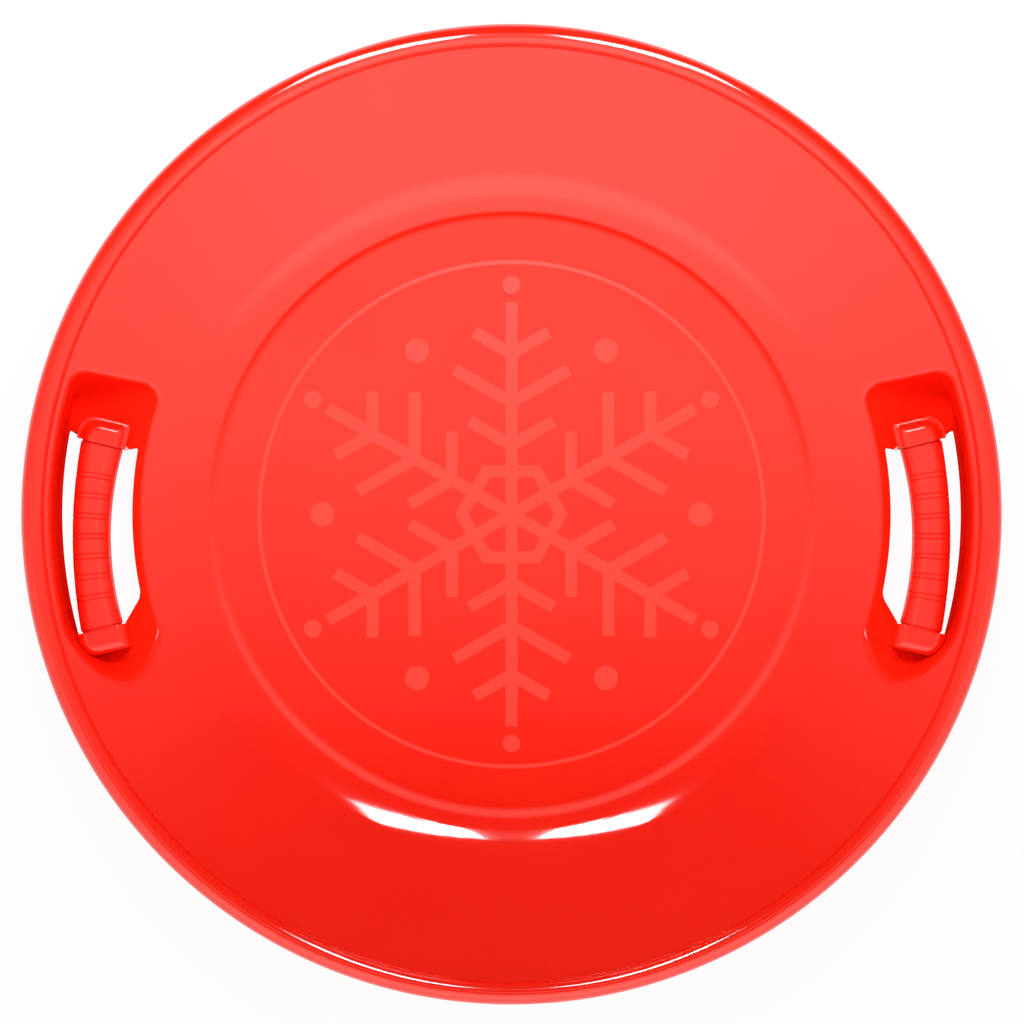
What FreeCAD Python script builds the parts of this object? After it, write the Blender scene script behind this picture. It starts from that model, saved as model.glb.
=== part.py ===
"""Saucer sled: a round moulded dish with a rolled rim and two hand grips held by snap-in end caps.

Millimetres. +Z is up, +Y is the front of the sled and +X its right side. The origin is the middle of the
dish's underside. Everything beside the dish is made for the right-hand pocket and mirrored to the left.
"""
import FreeCAD
import Part

import math
import os

from FreeCAD import Vector

# Dish: a flat floor, a round bend, a straight slope and a rolled rim, all of one wall
rim_diameter = 665.0
wall = 2.2
floor_diameter = 409.0
floor_bend_radius = 60.0
slope_angle = 40.0
rim_width = 15.5
rim_skirt = 10.0
crease_radius = 1.2

# Hand pocket: a level floor let into the slope, with a steep front end and a swept rear end
pocket_ridge = 4.5
pocket_sill = 6.4
pocket_front = 87.0
pocket_rear = 111.0
pocket_draft = 13.0
pocket_front_bend = 10.0
pocket_rear_bend = 40.0
pocket_corner = 9.0
pocket_rear_corner = 25.0
pocket_mouth_radius = 2.5

# Hand slot: the opening in the pocket floor, with a turned-down flange round it
slot_ledge = 1.0
slot_width = 49.1
slot_flange = 7.0
slot_corner = 3.0
slot_cut_corner = 18.0

# Grip: two shells that meet at a level parting line, bowed towards the rim and slimmer in the middle
handle_setback = 15.0
grip_rim_gap = 10.5
grip_mid_width = 25.0
grip_end_width = 28.2
grip_bow = 5.8
grip_half_span = 63.5
grip_lift = 3.0
grip_lower_height = 13.0
grip_upper_height = 14.0
grip_wall = 2.2
grip_top_radius = 9.0
grip_bottom_radius = 6.0
grip_seam = 0.3
grip_lip = 3.0
rib_count = 7
rib_pitch = 13.8
rib_width = 2.6
rib_height = 0.3

# End cap: a rounded block over each end of the grip, with a split snap pin inside
cap_width = 34.0
cap_length = 17.0
cap_rise = 3.0
cap_wall = 2.2
cap_rim_corner = 10.0
cap_back_radius = 7.0
cap_inner_radius = 3.5
cap_tuck = 3.5
pin_diameter = 5.0
pin_setback = 9.0
pin_barb = 1.0
pin_tip = 6.0
pin_slit = 1.4
eye_wall = 2.0

# Fits
snug_fit = 0.2
loose_fit = 0.4
overrun = 5.0
touching = 0.01
upright_share = 0.01

# Sizes that follow
slope = math.radians(slope_angle)
draft = math.radians(pocket_draft)
rim_radius = rim_diameter / 2
floor_radius = floor_diameter / 2
bead_radius = rim_width / 2
bead_centre = rim_radius - bead_radius
crease = rim_radius - rim_width
bend_end = floor_radius + floor_bend_radius * math.sin(slope)
bend_top = wall + floor_bend_radius * (1 - math.cos(slope))


def skin_height(radius):
    """Height of the upper skin at a distance from the dish's axis: level floor, bend, then slope."""
    if radius < floor_radius:
        return wall
    if radius > bend_end:
        return bend_top + (radius - bend_end) * math.tan(slope)
    return wall + floor_bend_radius - math.sqrt(floor_bend_radius ** 2 - (radius - floor_radius) ** 2)


crease_height = skin_height(crease)
rim_height = crease_height + bead_radius
sky = rim_height + overrun

pocket_outer = crease - pocket_ridge
slot_outer = pocket_outer - slot_ledge
slot_inner = slot_outer - slot_width
pocket_inner = max(slot_inner - pocket_sill, (floor_radius + bend_end) / 2)
pocket_level = skin_height(pocket_inner)

grip_outer = slot_outer - grip_rim_gap
grip_bottom = pocket_level + grip_lift
grip_parting = grip_bottom + grip_lower_height
grip_crest = grip_parting + grip_upper_height
cap_top = grip_crest + cap_rise
cap_sag = grip_bow + (grip_end_width - grip_mid_width) / 2
cap_middle = grip_outer - grip_mid_width / 2 - cap_sag
cap_turn = math.degrees(2 * math.atan(cap_sag / grip_half_span))

pin_radius = pin_diameter / 2
eye_bore = pin_radius + snug_fit
eye_radius = eye_bore + eye_wall
barb_top = pocket_level - wall - snug_fit


def polyline(points):
    """A closed wire through points."""
    return Part.makePolygon(points + points[:1])


def prism(wire, height):
    """The solid that a flat wire sweeps straight up."""
    return Part.Face(wire).extrude(Vector(0, 0, height))


def rounded(shape, radius, picked):
    """The shape with a round of one radius on each of its edges that picked says yes to."""
    return shape.makeFillet(radius, [edge for edge in shape.Edges if picked(edge)])


def middle_of(edge):
    """The point half way along an edge."""
    return edge.valueAt((edge.FirstParameter + edge.LastParameter) / 2)


def nearest_edge(shape, point):
    """The edge of a shape whose middle lies nearest to a point."""
    return min(shape.Edges, key=lambda edge: middle_of(edge).distanceToPoint(point))


def is_upright(edge):
    """True for an edge that runs straight up."""
    start, end = edge.Vertexes[0].Point, edge.Vertexes[-1].Point
    return math.hypot(end.x - start.x, end.y - start.y) < abs(end.z - start.z) * upright_share


# Dish

def section_point(radius, height):
    """A point of the dish's half section, which lies in the YZ plane behind the axis."""
    return Vector(0, -radius, height)


def section_line(start, end):
    """A straight stretch of the half section between two (radius, height) pairs."""
    return Part.makeLine(section_point(*start), section_point(*end))


def section_arc(start, through, end):
    """A round stretch of the half section through three (radius, height) pairs."""
    return Part.Arc(section_point(*start), section_point(*through), section_point(*end)).toShape()


def bend_point(radius, angle):
    """A point of the bend between floor and slope, at a radius from the bend's own centre."""
    height = wall + floor_bend_radius - radius * math.cos(angle)
    return (floor_radius + radius * math.sin(angle), height)


def upper_skin():
    """The upper skin's half section, from the axis to the rim's crease."""
    bend = [bend_point(floor_bend_radius, angle) for angle in (0, slope / 2, slope)]
    return [
        section_line((0, wall), bend[0]),
        section_arc(*bend),
        section_line(bend[-1], (crease, crease_height)),
    ]


def turned(edges):
    """The solid of revolution of a closed half section."""
    face = Part.Face(Part.Wire(Part.__sortEdges__(edges)))
    return face.revolve(Vector(0, 0, 0), Vector(0, 0, 1), 360)


def dish_shell():
    """The dish without its pockets: one wall from the floor to the skirt of the rolled rim."""
    inner_bead = bead_radius - wall
    inner_crease = crease + wall
    outer_bend = [bend_point(floor_bend_radius + wall, angle) for angle in (slope, slope / 2, 0)]
    lower_crease = skin_height(inner_crease) - wall / math.cos(slope)
    skirt_end = crease_height - rim_skirt
    inner_rim = rim_radius - wall
    rim = [
        section_arc((crease, crease_height), (bead_centre, rim_height), (rim_radius, crease_height)),
        section_line((rim_radius, crease_height), (rim_radius, skirt_end)),
        section_arc((rim_radius, skirt_end), (rim_radius - wall / 2, skirt_end - wall / 2), (inner_rim, skirt_end)),
        section_line((inner_rim, skirt_end), (inner_rim, crease_height)),
        section_arc(
            (inner_rim, crease_height), (bead_centre, crease_height + inner_bead), (inner_crease, crease_height)
        ),
        section_line((inner_crease, crease_height), (inner_crease, lower_crease)),
    ]
    underside = [
        section_line((inner_crease, lower_crease), outer_bend[0]),
        section_arc(*outer_bend),
        section_line(outer_bend[-1], (0, 0)),
        section_line((0, 0), (0, wall)),
    ]
    shell = turned(upper_skin() + rim + underside)
    return shell.makeFillet(crease_radius, [nearest_edge(shell, section_point(-crease, crease_height))])


def bowl_room():
    """The room above the upper skin, inside the rim's crease."""
    closing = [
        section_line((crease, crease_height), (crease, sky)),
        section_line((crease, sky), (0, sky)),
        section_line((0, sky), (0, wall)),
    ]
    return turned(upper_skin() + closing)


def pocket_room(grow):
    """The room of the right-hand pocket above its floor, grown all round by a distance."""
    level = pocket_level - grow
    rise = sky - level
    foot_shift = grow / math.cos(draft) - grow * math.tan(draft)
    front, rear = pocket_front + foot_shift, -pocket_rear - foot_shift
    lean = rise * math.tan(draft)
    start = pocket_inner / 2
    outline = polyline([
        Vector(start, front, level),
        Vector(start, front + lean, sky),
        Vector(start, rear - lean, sky),
        Vector(start, rear, level),
    ])
    trough = Part.Face(outline).extrude(Vector(rim_radius - start, 0, 0))
    reach = (rim_radius + start) / 2
    trough = trough.makeFillet(pocket_front_bend + grow, [nearest_edge(trough, Vector(reach, front, level))])
    trough = trough.makeFillet(pocket_rear_bend + grow, [nearest_edge(trough, Vector(reach, rear, level))])
    outer = pocket_outer + grow
    rear_end = rear - lean / 2
    limit = Part.makeBox(outer, outer - rear_end, rise, Vector(0, rear_end, level))
    limit = limit.common(Part.makeCylinder(outer, rise, Vector(0, 0, level)))
    corner = Vector(math.sqrt(outer ** 2 - rear_end ** 2), rear_end, level + rise / 2)
    limit = limit.makeFillet(pocket_rear_corner + grow, [nearest_edge(limit, corner)])
    room = trough.common(limit)
    corner = Vector(math.sqrt(outer ** 2 - front ** 2), front + lean / 2, level + rise / 2)
    return room.makeFillet(pocket_corner + grow, [nearest_edge(room, corner)])


def cap_point(across, along):
    """A plan point of the front cap's own frame: across towards the rim, along away from the grip."""
    turn = math.radians(cap_turn)
    x = cap_middle + across * math.cos(turn) - along * math.sin(turn)
    return Vector(x, grip_half_span + across * math.sin(turn) + along * math.cos(turn), 0)


def to_rear(shape):
    """The shape mirrored from the front end of the handle to its rear end."""
    return shape.mirror(Vector(0, 0, 0), Vector(0, 1, 0))


def to_pocket(shape):
    """The shape moved from the handle's own frame, centred on its mid plane, to its place in the dish."""
    return shape.translated(Vector(0, -handle_setback, 0))


def slot_room(grow, bottom, top):
    """The slot's plan, grown by a distance, swept between two heights in the handle's own frame."""
    axis = Vector(0, handle_setback, bottom)
    depth = top - bottom
    ring = Part.makeCylinder(slot_outer + grow, depth, axis)
    ring = ring.cut(Part.makeCylinder(slot_inner - grow, depth, axis))
    ends = [cap_point(-slot_width, cap_wall + grow), cap_point(slot_width, cap_wall + grow)]
    plan = ends + [Vector(point.x, -point.y, 0) for point in reversed(ends)]
    wedge = prism(polyline(plan), depth).translated(Vector(0, 0, bottom))
    slot = ring.common(wedge)
    rear_inner = min(
        (edge for edge in slot.Edges if is_upright(edge)),
        key=lambda edge: middle_of(edge).y + middle_of(edge).x,
    )
    cut_size = slot_cut_corner + grow * (2 - math.sqrt(2))
    slot = slot.makeChamfer(cut_size, [nearest_edge(slot, middle_of(rear_inner))])
    return rounded(slot, slot_corner + grow, is_upright)


def pin_axis():
    """The plan point of the front cap's snap pin."""
    return cap_point(0, pin_setback)


def pin_holes():
    """The two holes in the pocket floor that the snap pins pass through."""
    depth = pocket_rear_bend + wall
    hole = Part.makeCylinder(eye_bore, depth, pin_axis() + Vector(0, 0, pocket_level - depth / 2))
    return Part.makeCompound([hole, to_rear(hole)])


def pocketed(shell, place):
    """The shell with a pocket let into it, where place puts the right-hand shapes at one side."""
    body = pocket_room(wall).cut(bowl_room())
    return shell.fuse(place(body)).cut(place(pocket_room(0)))


def slotted(shell, place):
    """The shell with a hand slot, its flange and the pin holes in the pocket at one side."""
    flange_end = pocket_level - wall - slot_flange
    flange = to_pocket(slot_room(wall, flange_end, pocket_level))
    room = to_pocket(slot_room(0, flange_end - overrun, sky).fuse(pin_holes()))
    return shell.fuse(place(flange)).cut(place(room))


def is_mouth(edge):
    """True for an edge where a pocket breaks through the dish's upper skin."""
    ends = [edge.valueAt(edge.FirstParameter), middle_of(edge), edge.valueAt(edge.LastParameter)]
    reaches = [math.hypot(point.x, point.y) for point in ends]
    heights = [abs(point.z - skin_height(reach)) for point, reach in zip(ends, reaches)]
    return abs(ends[1].x) > pocket_inner / 2 and max(heights) < touching and max(reaches) < crease - touching


def dish():
    """The whole dish."""
    shape = pocketed(pocketed(dish_shell(), right), left).removeSplitter()
    shape = rounded(shape, pocket_mouth_radius, is_mouth)
    return slotted(slotted(shape, right), left).removeSplitter()


# Grip

def edge_place(mid, bow, y):
    """How far out a bowed edge of the grip lies at y, when it draws in by bow at the caps."""
    radius = (grip_half_span ** 2 + bow ** 2) / (2 * bow)
    return mid - radius + math.sqrt(radius ** 2 - y ** 2)


def grip_plan(inset, half_length, height):
    """The grip's plan outline at a height, drawn in from its sides by inset."""
    outer_mid = grip_outer - inset
    inner_mid = grip_outer - grip_mid_width + inset
    inner_bow = grip_bow + grip_end_width - grip_mid_width
    outer_end = edge_place(outer_mid, grip_bow, half_length)
    inner_end = edge_place(inner_mid, inner_bow, half_length)
    outer = Part.Arc(
        Vector(outer_end, -half_length, height), Vector(outer_mid, 0, height), Vector(outer_end, half_length, height)
    ).toShape()
    inner = Part.Arc(
        Vector(inner_end, half_length, height), Vector(inner_mid, 0, height), Vector(inner_end, -half_length, height)
    ).toShape()
    front = Part.makeLine(outer.Vertexes[-1].Point, inner.Vertexes[0].Point)
    rear = Part.makeLine(inner.Vertexes[-1].Point, outer.Vertexes[0].Point)
    return Part.Wire([outer, front, inner, rear])


def runs_along(height):
    """A test for the grip's two long edges at a height."""
    def test(edge):
        level = all(abs(vertex.Point.z - height) < grip_seam for vertex in edge.Vertexes)
        return level and edge.Length > grip_half_span
    return test


def grip_upper_form(inset, bottom):
    """The upper shell's outer form, drawn in by inset, from a bottom height up to its round top."""
    half_length = grip_half_span + cap_length
    top = grip_crest - inset
    form = prism(grip_plan(inset, half_length, bottom), top - bottom)
    return rounded(form, grip_top_radius - inset, runs_along(top))


def grip_lower_form(inset, top):
    """The lower shell's outer form, drawn in by inset, from its round underside up to a top height."""
    half_length = grip_half_span + cap_length
    bottom = grip_bottom + inset
    form = prism(grip_plan(inset, half_length, bottom), top - bottom)
    return rounded(form, grip_bottom_radius - inset, runs_along(bottom))


def end_cutter(along):
    """Two blocks that trim the grip's ends, from a distance inside the caps' front faces onwards."""
    reach = cap_width + overrun
    corners = [
        cap_point(-reach, along),
        cap_point(reach, along),
        cap_point(reach, along + reach),
        cap_point(-reach, along + reach),
    ]
    block = prism(polyline(corners), sky)
    return Part.makeCompound([block, to_rear(block)])


def grip_upper_shell():
    """The ribbed upper shell, with a lip inside that locates it in the lower shell."""
    bottom = grip_parting + grip_seam
    outer = grip_upper_form(0, bottom)
    ribbed = grip_upper_form(-rib_height, bottom)
    first = -(rib_count - 1) / 2 * rib_pitch
    for number in range(rib_count):
        middle = first + number * rib_pitch
        corner = Vector(0, middle - rib_width / 2, bottom)
        band = Part.makeBox(rim_radius, rib_width, sky, corner)
        outer = outer.fuse(ribbed.common(band))
    lip_inset = grip_wall + snug_fit
    lip = grip_upper_form(lip_inset, grip_parting - grip_lip).cut(end_cutter(cap_tuck - lip_inset))
    hollow = grip_upper_form(lip_inset + grip_wall, grip_parting - grip_lip - overrun)
    hollow = hollow.fuse(grip_upper_form(grip_wall, grip_parting + grip_lip))
    return outer.fuse(lip).cut(hollow).cut(end_cutter(cap_tuck)).removeSplitter()


def grip_lower_shell():
    """The plain lower shell, with an eye at each end that stands on the pocket floor for the cap's pin."""
    outer = grip_lower_form(0, grip_parting)
    hollow = grip_lower_form(grip_wall, sky)
    shell = outer.cut(hollow.cut(end_cutter(cap_tuck - grip_wall))).cut(end_cutter(cap_tuck))
    neck_plan = [
        cap_point(-eye_radius, cap_tuck - grip_wall / 2),
        cap_point(eye_radius, cap_tuck - grip_wall / 2),
        cap_point(eye_radius, pin_setback),
        cap_point(-eye_radius, pin_setback),
    ]
    neck = prism(polyline(neck_plan), grip_lower_height).translated(Vector(0, 0, grip_bottom))
    foot = pin_axis() + Vector(0, 0, pocket_level)
    eye = neck.fuse(Part.makeCylinder(eye_radius, grip_parting - pocket_level, foot))
    eye = eye.cut(Part.makeCylinder(eye_bore, sky, foot))
    return shell.fuse(eye).fuse(to_rear(eye)).removeSplitter()


# End cap

def cap_block(inset):
    """The front cap's form, drawn in by inset: square at the grip, rounded at its rim-side corner and back."""
    half = cap_width / 2 - inset
    back = cap_length - inset
    top = cap_top - inset
    plan = [cap_point(-half, inset), cap_point(half, inset), cap_point(half, back), cap_point(-half, back)]
    block = prism(polyline(plan), top - pocket_level).translated(Vector(0, 0, pocket_level))
    corner = plan[2] + Vector(0, 0, (top + pocket_level) / 2)
    block = block.makeFillet(cap_rim_corner - inset, [nearest_edge(block, corner)])
    back_edge = nearest_edge(block, cap_point(0, back) + Vector(0, 0, top))
    return block.makeFillet(cap_back_radius - inset, [back_edge])


def snap_pin():
    """The split pin under the cap's roof: a shoulder on the eye, a shank and a barb below the pocket floor."""
    axis = pin_axis()
    shoulder = grip_parting + snug_fit
    roof = cap_top - cap_wall / 2
    stem = Part.makeCylinder(eye_radius, roof - shoulder, axis + Vector(0, 0, shoulder))
    shank = Part.makeCylinder(pin_radius, shoulder - barb_top, axis + Vector(0, 0, barb_top))
    tip = barb_top - pin_tip
    barb = Part.makeCone(pin_radius - pin_barb, pin_radius + pin_barb, pin_tip, axis + Vector(0, 0, tip))
    pin = stem.fuse(shank).fuse(barb)
    slit_height = pocket_level - tip
    slit_corner = axis + Vector(-pin_diameter, -pin_slit / 2, tip)
    return pin.cut(Part.makeBox(2 * pin_diameter, pin_slit, slit_height, slit_corner))


def cap_body():
    """The front cap's hollow body, with a mouth for the grip's end, in the handle's own frame."""
    block = cap_block(0)
    inner_edge = cap_point(-cap_width / 2, cap_length / 2) + Vector(0, 0, cap_top)
    block = block.makeFillet(cap_inner_radius, [nearest_edge(block, inner_edge)])
    mouth = grip_upper_form(-loose_fit, pocket_level - overrun)
    mouth = mouth.cut(end_cutter(cap_tuck + loose_fit))
    return block.cut(cap_block(cap_wall)).cut(mouth)


# Assembly

def right(shape):
    """A right-hand shape where it is."""
    return shape


def left(shape):
    """A right-hand shape mirrored to the left of the sled."""
    return shape.mirror(Vector(0, 0, 0), Vector(1, 0, 0))


def seated(shape):
    """A piece of the handle put in its pocket and trimmed to stand clear of the floor and walls."""
    below = pocket_room(-snug_fit)
    return to_pocket(shape).common(below)


def handle():
    """The right-hand handle's pieces by name."""
    body, pin = cap_body(), snap_pin()
    return {
        "grip_upper_shell": to_pocket(grip_upper_shell()),
        "grip_lower_shell": seated(grip_lower_shell()),
        "front_end_cap": seated(body).fuse(to_pocket(pin)).removeSplitter(),
        "rear_end_cap": seated(to_rear(body)).fuse(to_pocket(to_rear(pin))).removeSplitter(),
    }


def save(name, shape):
    """Writes one piece, and stops if it isn't one sound solid."""
    if len(shape.Solids) != 1 or not shape.isValid():
        raise ValueError(name + " has " + str(len(shape.Solids)) + " solids, valid " + str(shape.isValid()))
    shape.Solids[0].exportStep("parts/" + name + ".step")


def main():
    os.makedirs("parts", exist_ok=True)
    save("dish", dish())
    for piece, shape in handle().items():
        save("right_" + piece, right(shape))
        save("left_" + piece, left(shape))


main()
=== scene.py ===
"""Looks of a red saucer sled with two ribbed hand grips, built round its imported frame.

Shapes are worked out in millimetres in the frame's own axes, and turned to metres when a mesh is made.
Right-hand shapes are mirrored to the left. +Y is the front of the sled, which is up in the picture.
"""
import math

import bmesh
import bpy
import numpy as np
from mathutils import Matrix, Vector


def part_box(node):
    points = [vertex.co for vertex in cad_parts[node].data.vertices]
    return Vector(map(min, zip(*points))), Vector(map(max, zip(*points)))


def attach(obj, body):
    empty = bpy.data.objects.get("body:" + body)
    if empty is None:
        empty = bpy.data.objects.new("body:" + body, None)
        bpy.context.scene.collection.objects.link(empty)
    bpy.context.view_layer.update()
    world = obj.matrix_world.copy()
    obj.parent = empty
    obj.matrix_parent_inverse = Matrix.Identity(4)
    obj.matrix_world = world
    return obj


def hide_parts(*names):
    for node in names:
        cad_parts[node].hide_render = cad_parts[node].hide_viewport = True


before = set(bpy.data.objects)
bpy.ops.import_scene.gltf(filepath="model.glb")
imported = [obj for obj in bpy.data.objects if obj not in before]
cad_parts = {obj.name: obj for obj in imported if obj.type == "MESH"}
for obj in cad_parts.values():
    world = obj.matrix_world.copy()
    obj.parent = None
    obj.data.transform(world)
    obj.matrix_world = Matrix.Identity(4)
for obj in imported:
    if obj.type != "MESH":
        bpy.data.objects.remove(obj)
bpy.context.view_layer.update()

MM = 0.001
BODY = "root"
SIDES = {"right": 1.0, "left": -1.0}

# Dish sizes
RIM_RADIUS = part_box("dish")[1].x / MM
RIM_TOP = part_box("dish")[1].z / MM
WALL = 2.2
FLOOR_RADIUS = 204.5
BEND_RADIUS = 60.0
SLOPE = math.radians(40.0)
RIM_WIDTH = 15.5
RIM_SKIRT = 10.0
CREASE_ROUND = 0.3
CREASE_RISE = 0.6

# Hand pocket and slot sizes
POCKET_RIDGE = 4.5
POCKET_SILL = 6.4
POCKET_FRONT = 87.0
POCKET_REAR = 107.0
POCKET_DRAFT = math.radians(13.0)
POCKET_FRONT_BEND = 10.0
POCKET_REAR_BEND = 40.0
POCKET_RAMP = math.radians(42.0)
POCKET_RAMP_FOOT = 3.0
POCKET_FOOT = 3.0
POCKET_CORNER = 9.0
POCKET_REAR_CORNER = 42.0
MOUTH_ROUND = 2.5
REAR_MOUTH_ROUND = 7.0
REAR_MOUTH_START = 80.0
REAR_MOUTH_REACH = 30.0
REAR_MOUTH_RIM = 14.0
UNDERSIDE_ROUND = 1.0
SLOT_LEDGE = 1.0
SLOT_WIDTH = 49.1
SLOT_FLANGE = 7.0
SLOT_CORNER = 3.0
SLOT_FRONT_CORNER = 1.5
SLOT_SPLAY = 0.42
SLOT_INSET = 0.9
SLOT_CUT = 18.0
SLOT_EDGE_ROUND = 2.6
SLOT_CUT_TOP = 10.0

# Grip sizes
HANDLE_SETBACK = 15.0
GRIP_RIM_GAP = 10.5
GRIP_MID_WIDTH = 25.0
GRIP_END_WIDTH = 28.2
GRIP_BOW = 5.8
GRIP_HALF_SPAN = 63.5
GRIP_LIFT = 3.0
GRIP_LOWER_HEIGHT = 13.0
GRIP_UPPER_HEIGHT = 14.0
GRIP_TOP_ROUND = 9.0
GRIP_BOTTOM_ROUND = 6.0
GRIP_EDGE_ROUND = 0.5
GRIP_SEAM = 0.3
GRIP_TUCK = 3.0
RIB_COUNT = 7
RIB_PITCH = 13.8
RIB_WIDTH = 2.6
RIB_HEIGHT = 0.1
RIB_EDGE = 0.3
RIB_FADE = (3.0, 9.0)
GROOVE_WIDTH = 0.7
GROOVE_DEPTH = 0.9
NECK_WIDTH = 0.9
NECK_DEPTH = 0.9

# End cap sizes
CAP_WIDTH = 34.0
CAP_LENGTH = 17.0
CAP_RISE = 3.0
CAP_RIM_CORNER = 11.0
CAP_INNER_CORNER = 2.5
CAP_STEP = 6.0
CAP_BACK_INSET = 3.0
CAP_RIM_INSET = 5.0
CAP_INNER_INSET = 3.5
CAP_STEP_EDGE = 0.4
CAP_STEP_ROUND = 1.6
CAP_TOP_ROUND = 5.0
CAP_REAR_ROUND = 6.5
CAP_FRONT_ROUND = 0.8
CAP_CLEARANCE = 0.2
PIN_RADIUS = 2.5
PIN_SETBACK = 9.0
PIN_BARB = 1.0
PIN_TIP = 6.0

# Sizes that follow
BEND_END = FLOOR_RADIUS + BEND_RADIUS * math.sin(SLOPE)
BEND_TOP = WALL + BEND_RADIUS * (1 - math.cos(SLOPE))
CREASE = RIM_RADIUS - RIM_WIDTH
BEAD_RADIUS = RIM_WIDTH / 2
LOWER_DROP = WALL / math.cos(SLOPE)
POCKET_OUTER = CREASE - POCKET_RIDGE
SLOT_OUTER = POCKET_OUTER - SLOT_LEDGE
SLOT_INNER = SLOT_OUTER - SLOT_WIDTH


def slope_height(radius):
    """Height of the slope's upper skin at a distance from the axis."""
    return BEND_TOP + (radius - BEND_END) * math.tan(SLOPE)


POCKET_LEVEL = slope_height(SLOT_INNER - POCKET_SILL)
FLANGE_END = POCKET_LEVEL - WALL - SLOT_FLANGE
GRIP_OUTER = SLOT_OUTER - GRIP_RIM_GAP
GRIP_BOTTOM = POCKET_LEVEL + GRIP_LIFT
GRIP_PARTING = GRIP_BOTTOM + GRIP_LOWER_HEIGHT
GRIP_CREST = GRIP_PARTING + GRIP_UPPER_HEIGHT
CAP_TOP = GRIP_CREST + CAP_RISE
CAP_SAG = GRIP_BOW + (GRIP_END_WIDTH - GRIP_MID_WIDTH) / 2
CAP_MIDDLE = GRIP_OUTER - GRIP_MID_WIDTH / 2 - CAP_SAG
CAP_TURN = 2 * math.atan(CAP_SAG / GRIP_HALF_SPAN)
CAP_ACROSS = np.array([math.cos(CAP_TURN), math.sin(CAP_TURN)])
CAP_ALONG = np.array([-math.sin(CAP_TURN), math.cos(CAP_TURN)])
CAP_ORIGIN = np.array([CAP_MIDDLE, GRIP_HALF_SPAN])
SETBACK = np.array([0.0, -HANDLE_SETBACK])
TO_FRONT = np.array([1.0, 1.0])
TO_REAR = np.array([1.0, -1.0])

# How finely the shapes are divided
SECTOR_MARGIN = 1.2
SECTOR_INNER = 247.0
SECTOR_OUTER = CREASE - SECTOR_MARGIN
SECTOR_FRONT = math.radians(26.0)
SECTOR_REAR = math.radians(-32.0)
SECTOR_COLUMNS = 132
SECTOR_ROWS = 36
ARC_COLUMNS = 96
ARC_STEP = math.radians(6.0)
APPROACH_ROWS = 9
WALL_ROWS = 28
FLOOR_ROWS = 22
FLANGE_ROWS = 9
HEM_STEPS = 8
FOOT_TEST = 0.5
FOOT_SHARES = (0.15, 0.85)
GRIP_STEPS = 90
GROOVE_MARKS = (0.25, 0.5, 0.75, 1, 1.5)
STATION_DIGITS = 4
CAP_CELLS = (44, 32, 24)
CAP_START = 0.98
CAP_ROUNDS = 30
PIN_COLUMNS = 32

# How closely numbers are worked out
SHORTEST = 1e-12
GRADIENT_STEP = 0.02
SETTLE_ROUNDS = 12
HALVINGS = 40
WELD_DIGITS = 3


# Number work

def round_max(a, b, radius):
    """The larger of two distances, with a round of a radius where they meet."""
    corner = np.hypot(np.maximum(a + radius, 0), np.maximum(b + radius, 0))
    return np.minimum(np.maximum(a, b), -radius) + corner


def round_min(a, b, radius):
    """The smaller of two distances, with a round of a radius where they meet."""
    return -round_max(-a, -b, radius)


def smooth_step(low, high, value):
    """A soft rise from 0 at low to 1 at high."""
    share = np.clip((value - low) / (high - low), 0, 1)
    return share * share * (3 - 2 * share)


def unit(vectors):
    """Vectors drawn to length one."""
    return vectors / np.maximum(np.linalg.norm(vectors, axis=-1, keepdims=True), SHORTEST)


def gradient(field, points, step=GRADIENT_STEP):
    """How a field changes along each axis at points."""
    columns = []
    for axis in range(points.shape[-1]):
        shift = np.zeros(points.shape[-1])
        shift[axis] = step
        columns.append((field(points + shift) - field(points - shift)) / (2 * step))
    return np.stack(columns, axis=-1)


def settle(field, points, rounds=SETTLE_ROUNDS):
    """Points moved along a field's slope to where it is zero."""
    for _ in range(rounds):
        slope = gradient(field, points)
        points = points - slope * (field(points) / np.sum(slope ** 2, axis=-1))[..., None]
    return points


def turning_point(holds, low, high):
    """Where a test that holds at low stops holding on the way to high, found by halving."""
    for _ in range(HALVINGS):
        middle = (low + high) / 2
        held = holds(middle)
        low, high = np.where(held, middle, low), np.where(held, high, middle)
    return low


def eased(count, start=True, end=True):
    """Shares from 0 to 1, closer together at the ends that ask for it."""
    share = np.linspace(0, 1, count + 1)
    if start and end:
        return (1 - np.cos(share * math.pi)) / 2
    if start:
        return 1 - np.cos(share * math.pi / 2)
    return np.sin(share * math.pi / 2)


def rounded_path(corners):
    """Points and left-hand normals along a path of (across, up, radius) corners, with an arc at each."""
    spots = [np.array(corner[:2], float) for corner in corners]
    points, normals = [], []

    def add(point, heading):
        points.append(point)
        normals.append(np.array([-heading[1], heading[0]]))

    add(spots[0], unit(spots[1] - spots[0]))
    for before, spot, after, corner in zip(spots, spots[1:], spots[2:], corners[1:]):
        into, out = unit(spot - before), unit(after - spot)
        turn = math.atan2(into[0] * out[1] - into[1] * out[0], float(into @ out))
        reach = corner[2] * math.tan(abs(turn) / 2)
        side = math.copysign(1, turn)
        centre = spot - into * reach + side * corner[2] * np.array([-into[1], into[0]])
        steps = max(2, math.ceil(abs(turn) / ARC_STEP))
        for number in range(steps + 1):
            angle = turn * number / steps
            heading = np.array([
                into[0] * math.cos(angle) - into[1] * math.sin(angle),
                into[0] * math.sin(angle) + into[1] * math.cos(angle),
            ])
            add(centre + side * corner[2] * np.array([heading[1], -heading[0]]), heading)
    add(spots[-1], unit(spots[-1] - spots[-2]))
    return np.array(points), np.array(normals)


# Mesh making

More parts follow.
